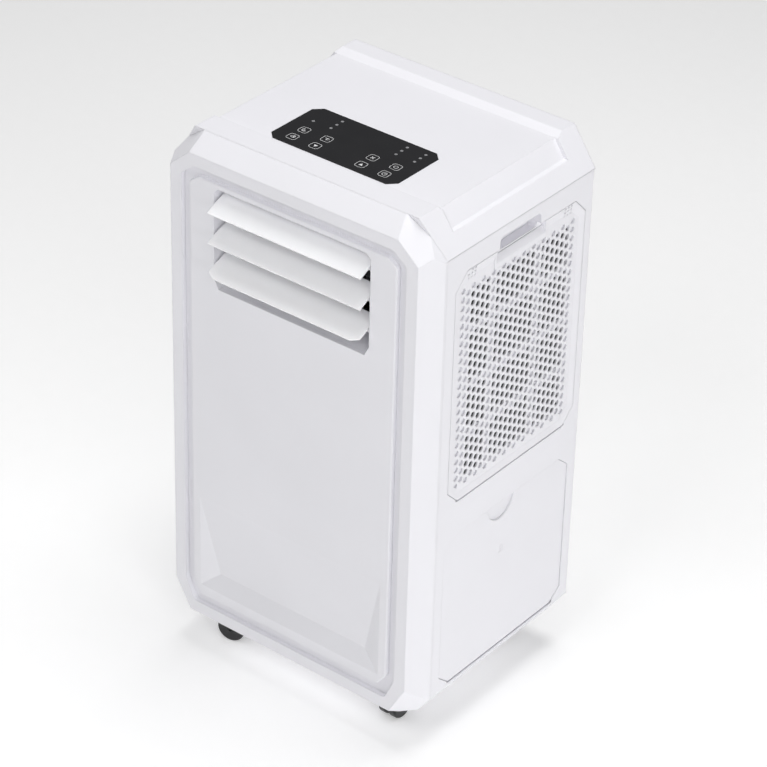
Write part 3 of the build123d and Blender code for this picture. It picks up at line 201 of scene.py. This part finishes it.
class Marks:
    """Thin raised strokes and dots, gathered into one mesh on a plane of the object."""

    def __init__(self, name, origin, across, up, lift):
        self.name = name
        self.origin = Vector(origin)
        self.across = Vector(across)
        self.up = Vector(up)
        self.lift = self.across.cross(self.up) * lift
        self.mesh = bmesh.new()

    def corner(self, point, raised):
        place = self.origin + self.across * point[0] + self.up * point[1]
        return self.mesh.verts.new(place + self.lift if raised else place)

    def prism(self, loop):
        top = [self.corner(p, True) for p in loop]
        foot = [self.corner(p, False) for p in loop]
        self.mesh.faces.new(top)
        for i in range(len(loop)):
            j = (i + 1) % len(loop)
            self.mesh.faces.new((top[i], foot[i], foot[j], top[j]))

    def stroke(self, points, width, closed=False):
        inner, outer = ribbon(points, width, closed)
        steps = len(points) if closed else len(points) - 1
        for i in range(steps):
            j = (i + 1) % len(points)
            self.prism([outer[i], inner[i], inner[j], outer[j]])

    def arc(self, centre, radius, start, end, width, steps=20):
        angles = [math.radians(start + (end - start) * i / steps) for i in range(steps + 1)]
        points = [(centre[0] + radius * math.cos(t), centre[1] + radius * math.sin(t)) for t in angles]
        self.stroke(points, width)

    def ring(self, centre, radius, width, steps=28):
        angles = [math.tau * i / steps for i in range(steps)]
        points = [(centre[0] + radius * math.cos(t), centre[1] + radius * math.sin(t)) for t in angles]
        self.stroke(points, width, True)

    def disc(self, centre, radius, steps=20):
        angles = [math.tau * i / steps for i in range(steps)]
        self.prism([(centre[0] + radius * math.cos(t), centre[1] + radius * math.sin(t)) for t in angles])

    def piece(self, material, body):
        bmesh.ops.recalc_face_normals(self.mesh, faces=self.mesh.faces)
        mesh = bpy.data.meshes.new(self.name)
        self.mesh.to_mesh(mesh)
        self.mesh.free()
        mesh.materials.append(material)
        obj = bpy.data.objects.new(self.name, mesh)
        bpy.context.scene.collection.objects.link(obj)
        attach(obj, body)
        return obj


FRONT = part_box("front_casing")[0].y
GLASS_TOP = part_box("touch_glass")[1].z

icon_ink = moulded_plastic("icon_ink", (0.80, 0.80, 0.81), 0.35, 0.00001, 900, None, 0.08)
lens_smoke = moulded_plastic("lens_smoke", (0.30, 0.30, 0.31), 0.25, 0.00001, 900, None, 0.1)

KEY = 5.3 * MM          # half width of a key outline
LINE = 0.42 * MM        # width of an outline stroke
KEY_COLUMNS = (-56.5 * MM, -28.3 * MM, 28.3 * MM, 56.5 * MM)
KEY_ROWS = (FRONT + 69.6 * MM, FRONT + 87.1 * MM)

icons = Marks("key_icons", (0, 0, GLASS_TOP), (1, 0, 0), (0, 1, 0), 0.06 * MM)


def key_outline(x, y):
    corner = 2.6 * MM
    flat = KEY - corner
    points = []
    for cx, cy, start in ((flat, flat, 0), (-flat, flat, 90), (-flat, -flat, 180), (flat, -flat, 270)):
        for i in range(4):
            t = math.radians(start + 30 * i)
            points.append((x + cx + corner * math.cos(t), y + cy + corner * math.sin(t)))
    icons.stroke(points, LINE, True)


def triangle(x, y, direction):
    s = 2.3 * MM
    base = y - direction * s * 0.75
    icons.prism([(x - s, base), (x + s, base), (x, y + direction * s)][::direction])


for x in KEY_COLUMNS:
    for y in KEY_ROWS:
        key_outline(x, y)
low, high = KEY_ROWS
far_left, left, right, far_right = KEY_COLUMNS
# cloud over a drop
icons.arc((far_left - 1.1 * MM, low + 0.2 * MM), 1.3 * MM, 80, 280, 0.5 * MM, 10)
icons.arc((far_left + 0.6 * MM, low + 0.9 * MM), 1.7 * MM, -10, 170, 0.5 * MM, 12)
icons.stroke([(far_left - 1.1 * MM, low - 1.1 * MM), (far_left + 2.3 * MM, low - 1.1 * MM)], 0.6 * MM)
icons.disc((far_left + 1.3 * MM, low + 0.1 * MM), 1.0 * MM, 12)
# down and up
triangle(left, low, -1)
triangle(right, low, 1)
# clock
icons.ring((far_right, low), 2.5 * MM, 0.5 * MM)
icons.stroke([(far_right, low + 1.6 * MM), (far_right, low), (far_right + 1.2 * MM, low)], 0.45 * MM)
# moon
icons.arc((far_left, high), 2.3 * MM, 100, 350, 0.75 * MM, 16)
icons.arc((far_left + 1.1 * MM, high + 0.8 * MM), 1.8 * MM, 130, 320, 0.35 * MM, 12)
# swing
icons.arc((left, high - 2.2 * MM), 3.8 * MM, 50, 130, 0.55 * MM, 10)
icons.stroke([(left, high + 1.4 * MM), (left, high - 2.2 * MM)], 0.55 * MM)
icons.stroke([(left, high - 2.2 * MM), (left + 2.4 * MM, high - 0.4 * MM)], 0.45 * MM)
# fan
for i in range(4):
    turn = math.radians(45 + 90 * i)
    tip = (right + 2.5 * MM * math.cos(turn), high + 2.5 * MM * math.sin(turn))
    icons.stroke([(right, high), tip], 0.9 * MM)
# power
icons.arc((far_right, high), 2.3 * MM, 120, 420, 0.55 * MM, 18)
icons.stroke([(far_right, high + 1.2 * MM), (far_right, high + 3.0 * MM)], 0.55 * MM)
icons.piece(icon_ink, "housing")

LENS = 1.6 * MM         # radius of an indicator lens

lenses = Marks("led_lenses", (0, 0, GLASS_TOP), (1, 0, 0), (0, 1, 0), 0.08 * MM)
lenses.disc((-61.5 * MM, FRONT + 106.9 * MM), LENS)
for x in (-39.4, 40.8, 63.3):
    for y in (107.0, 115.9, 124.6):
        lenses.disc((x * MM, FRONT + y * MM), LENS)
lenses.piece(lens_smoke, "housing")


# ---------------------------------------------------------------- filter nets and cover marks

NET_TOP = 529 * MM      # the net ends here, under the frame's finger pull


def filter_net(side, name, body):
    """Crossed black threads stretched in the filter's frame."""
    low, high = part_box("filter_mesh_" + side)
    x = 0.5 * (low.x + high.x)
    low_y, high_y = low.y + 6 * MM, high.y - 6 * MM
    low_z, high_z = low.z + 8 * MM, NET_TOP
    pitch, half, thick = 1.3 * MM, 0.4 * MM, 0.15 * MM
    net = bmesh.new()

    def thread(y0, y1, z0, z1, x0, x1):
        centre = Matrix.Translation((0.5 * (x0 + x1), 0.5 * (y0 + y1), 0.5 * (z0 + z1)))
        extent = Matrix.Diagonal((x1 - x0, y1 - y0, z1 - z0, 1))
        bmesh.ops.create_cube(net, size=1, matrix=centre @ extent)

    for i in range(int((high_y - low_y) / pitch) + 1):
        y = low_y + i * pitch
        thread(y - half, y + half, low_z, high_z, x, x + thick)
    for i in range(int((high_z - low_z) / pitch) + 1):
        z = low_z + i * pitch
        thread(low_y, high_y, z - half, z + half, x - thick, x)
    mesh = bpy.data.meshes.new(name)
    net.to_mesh(mesh)
    net.free()
    mesh.materials.append(MATERIALS["mesh_dark"])
    obj = bpy.data.objects.new(name, mesh)
    bpy.context.scene.collection.objects.link(obj)
    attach(obj, body)


filter_net("right", "filter_net_right", "filter_right")
filter_net("left", "filter_net_left", "filter_left")

MARK_ASIDE = 15.4 * MM  # the raised mark on each lower cover stands this far from the middle
MARK_HEIGHT = 189 * MM

for side, sign in (("right", 1), ("left", -1)):
    low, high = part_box("lower_cover_" + side)
    face = high.x if sign > 0 else low.x
    mark = Marks("cover_mark_" + side, (face, 0, 0), (0, sign, 0), (0, 0, 1), 0.25 * MM)
    y, z = sign * MARK_ASIDE, MARK_HEIGHT
    mark.ring((y, z + 2.4 * MM), 3.0 * MM, 0.8 * MM)
    mark.stroke([(y - 4.2 * MM, z - 2.6 * MM), (y + 4.2 * MM, z - 2.6 * MM)], 0.8 * MM)
    mark.piece(MATERIALS["shell_white"], "lower_cover_" + side)


# ---------------------------------------------------------------- floor, light and camera

FLOOR_DROP = 0.2 * MM   # keeps the floor clear of the wheels' lowest faces


def studio_floor(glow):
    """A wide, almost white floor that glows a little, as an overexposed sweep does."""
    material, tree, shader = new_material("studio_floor", (0.86, 0.86, 0.86), 0.9, specular=0.1)
    shader.inputs["Emission Color"].default_value = (1, 1, 1, 1)
    shader.inputs["Emission Strength"].default_value = glow
    grain = noise(tree, 60, 2)
    tree.links.new(tint(tree, grain, (0.85, 0.85, 0.85), (0.87, 0.87, 0.87)), shader.inputs["Base Color"])
    mesh = bpy.data.meshes.new("floor")
    grid = bmesh.new()
    bmesh.ops.create_grid(grid, x_segments=8, y_segments=8, size=30)
    grid.to_mesh(mesh)
    grid.free()
    mesh.materials.append(material)
    floor = bpy.data.objects.new("floor", mesh)
    bpy.context.scene.collection.objects.link(floor)
    floor.location.z = -FLOOR_DROP


def soft_light(name, place, aim, size, power):
    """A white rectangular area light at place that points at aim."""
    light = bpy.data.lights.new(name, "AREA")
    light.shape = "RECTANGLE"
    light.size, light.size_y = size
    light.energy = power
    obj = bpy.data.objects.new(name, light)
    bpy.context.scene.collection.objects.link(obj)
    obj.location = place
    obj.rotation_euler = (Vector(aim) - Vector(place)).to_track_quat("-Z", "Y").to_euler()
    return obj


STUDIO_LIGHTS = (           # name, place (m), size (m), power (W)
    ("side_low", (2.6, -1.05, 0.62), (0.6, 0.5), 13.0),
    ("side_flat", (3.0, 0.4, 0.3), (1.8, 1.0), 14.0),
    ("top", (0.1, 0.35, 3.2), (1.8, 1.8), 56.0),
    ("front_high", (0.2, -2.3, 2.6), (1.2, 1.0), 18.0),
    ("right_high", (1.9, -1.7, 2.3), (1.2, 1.0), 14.5),
    ("left_high", (-1.7, -1.9, 2.3), (1.2, 1.0), 10.0),
)
LIGHT_AIM = (0, 0, 0.33)    # the middle of the casing
OUTLET = (0, -0.12, 0.52)   # the middle of the air outlet
FLOOR_GLOW = 0.31
SKY = 0.04

studio_floor(FLOOR_GLOW)
for name, place, size, power in STUDIO_LIGHTS:
    soft_light(name, place, LIGHT_AIM, size, power)

# A weak reflector card lights only the air outlet, which the lamps above leave too dark.
outlet_card = soft_light("outlet_card", (0.3, -1.9, 1.3), OUTLET, (0.8, 0.8), 9.0)
lit_by_card = bpy.data.collections.new("lit_by_card")
for node in ("louver_top", "louver_middle", "louver_bottom", "outlet_frame", "louver_link"):
    lit_by_card.objects.link(bpy.data.objects[node])
outlet_card.light_linking.receiver_collection = lit_by_card

world = bpy.data.worlds.new("studio")
world.use_nodes = True
background = world.node_tree.nodes["Background"]
background.inputs["Color"].default_value = (0.965, 0.97, 1.0, 1)
background.inputs["Strength"].default_value = SKY
bpy.context.scene.world = world
bpy.context.scene.view_settings.view_transform = "Standard"

AZIMUTH = math.radians(37.686)      # camera to the right of the front
ELEVATION = math.radians(32.843)    # camera above the level
ROLL = math.radians(1.580)
CAMERA_PLACE = (1.6613, -2.1250, 2.0688)
FOCAL_LENGTH = 148.607              # mm, on a 36 mm wide sensor

level_right = Vector((math.cos(AZIMUTH), math.sin(AZIMUTH), 0))
level_back = Vector((math.sin(AZIMUTH), -math.cos(AZIMUTH), 0))
back = level_back * math.cos(ELEVATION)
back.z = math.sin(ELEVATION)
level_up = back.cross(level_right)
camera_x = level_right * math.cos(ROLL) + level_up * math.sin(ROLL)
camera_y = level_up * math.cos(ROLL) - level_right * math.sin(ROLL)
lens = bpy.data.cameras.new("camera")
lens.sensor_width = 36
lens.lens = FOCAL_LENGTH
camera = bpy.data.objects.new("camera", lens)
bpy.context.scene.collection.objects.link(camera)
turn = Matrix((camera_x, camera_y, back)).transposed().to_4x4()
camera.matrix_world = Matrix.Translation(CAMERA_PLACE) @ turn
bpy.context.scene.camera = camera
